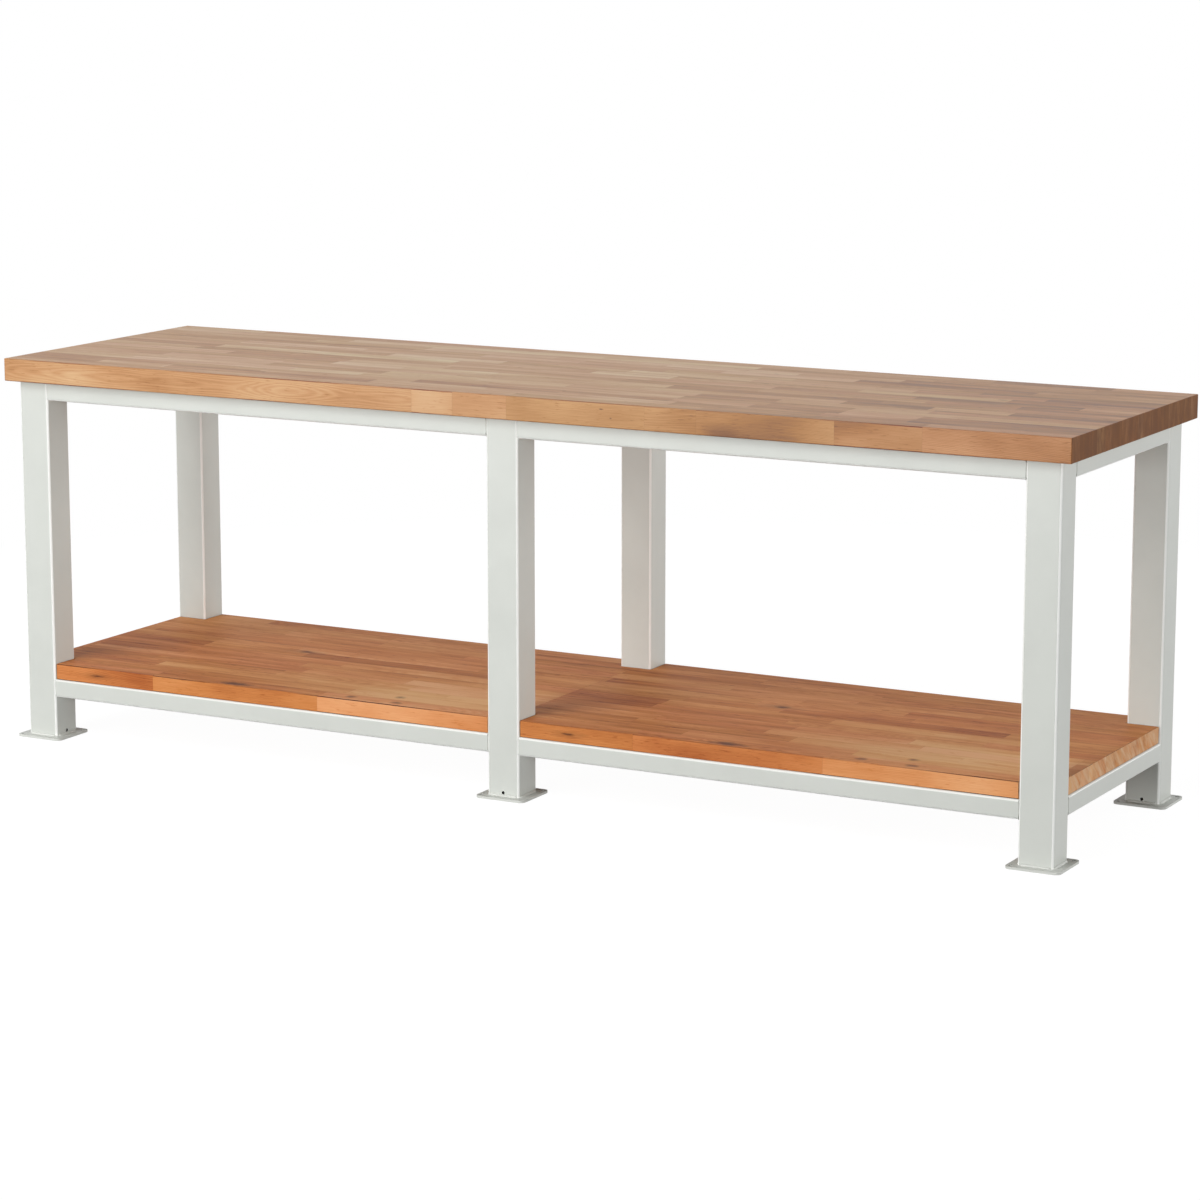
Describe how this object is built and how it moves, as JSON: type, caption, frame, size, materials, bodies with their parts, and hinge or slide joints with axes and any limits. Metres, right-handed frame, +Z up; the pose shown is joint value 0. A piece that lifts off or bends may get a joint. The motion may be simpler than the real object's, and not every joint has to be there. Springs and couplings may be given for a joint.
{
  "type": "workbench",
  "caption": "Long workbench with a thick solid-wood worktop on a welded square-tube frame with foot plates, and a low wooden shelf notched round the legs.",
  "frame": {"origin": "on the floor under the middle of the worktop", "axes": "+X along the bench to the right of someone who stands at its front, +Y from the front to the rear, +Z up"},
  "size_m": [2.5, 0.7, 0.85],
  "materials": {
    "frame_paint": "light grey powder coat, fine satin texture",
    "worktop_beech": "oiled beech glued from short staves, satin",
    "shelf_beech": "oiled steamed beech glued from short staves, satin",
    "screw_zinc": "zinc plated"
  },
  "bodies": {
    "root": {"leg_front_left": "frame_paint", "leg_front_middle": "frame_paint", "leg_front_right": "frame_paint", "leg_rear_left": "frame_paint", "leg_rear_middle": "frame_paint", "leg_rear_right": "frame_paint", "foot_plate_front_left": "frame_paint", "foot_plate_front_middle": "frame_paint", "foot_plate_front_right": "frame_paint", "foot_plate_rear_left": "frame_paint", "foot_plate_rear_middle": "frame_paint", "foot_plate_rear_right": "frame_paint", "foot_weld_front_left": "frame_paint", "foot_weld_front_middle": "frame_paint", "foot_weld_front_right": "frame_paint", "foot_weld_rear_left": "frame_paint", "foot_weld_rear_middle": "frame_paint", "foot_weld_rear_right": "frame_paint", "upper_rail_front_left": "frame_paint", "upper_rail_front_right": "frame_paint", "upper_rail_rear_left": "frame_paint", "upper_rail_rear_right": "frame_paint", "lower_rail_front_left": "frame_paint", "lower_rail_front_right": "frame_paint", "lower_rail_rear_left": "frame_paint", "lower_rail_rear_right": "frame_paint", "upper_cross_rail_left": "frame_paint", "upper_cross_rail_middle": "frame_paint", "upper_cross_rail_right": "frame_paint", "lower_cross_rail_left": "frame_paint", "lower_cross_rail_middle": "frame_paint", "lower_cross_rail_right": "frame_paint", "upper_rail_welds": "frame_paint", "lower_rail_welds": "frame_paint", "worktop": "worktop_beech", "shelf_board_left": "shelf_beech", "shelf_board_right": "shelf_beech", "worktop_screws": "screw_zinc"}
  },
  "joints": []
}
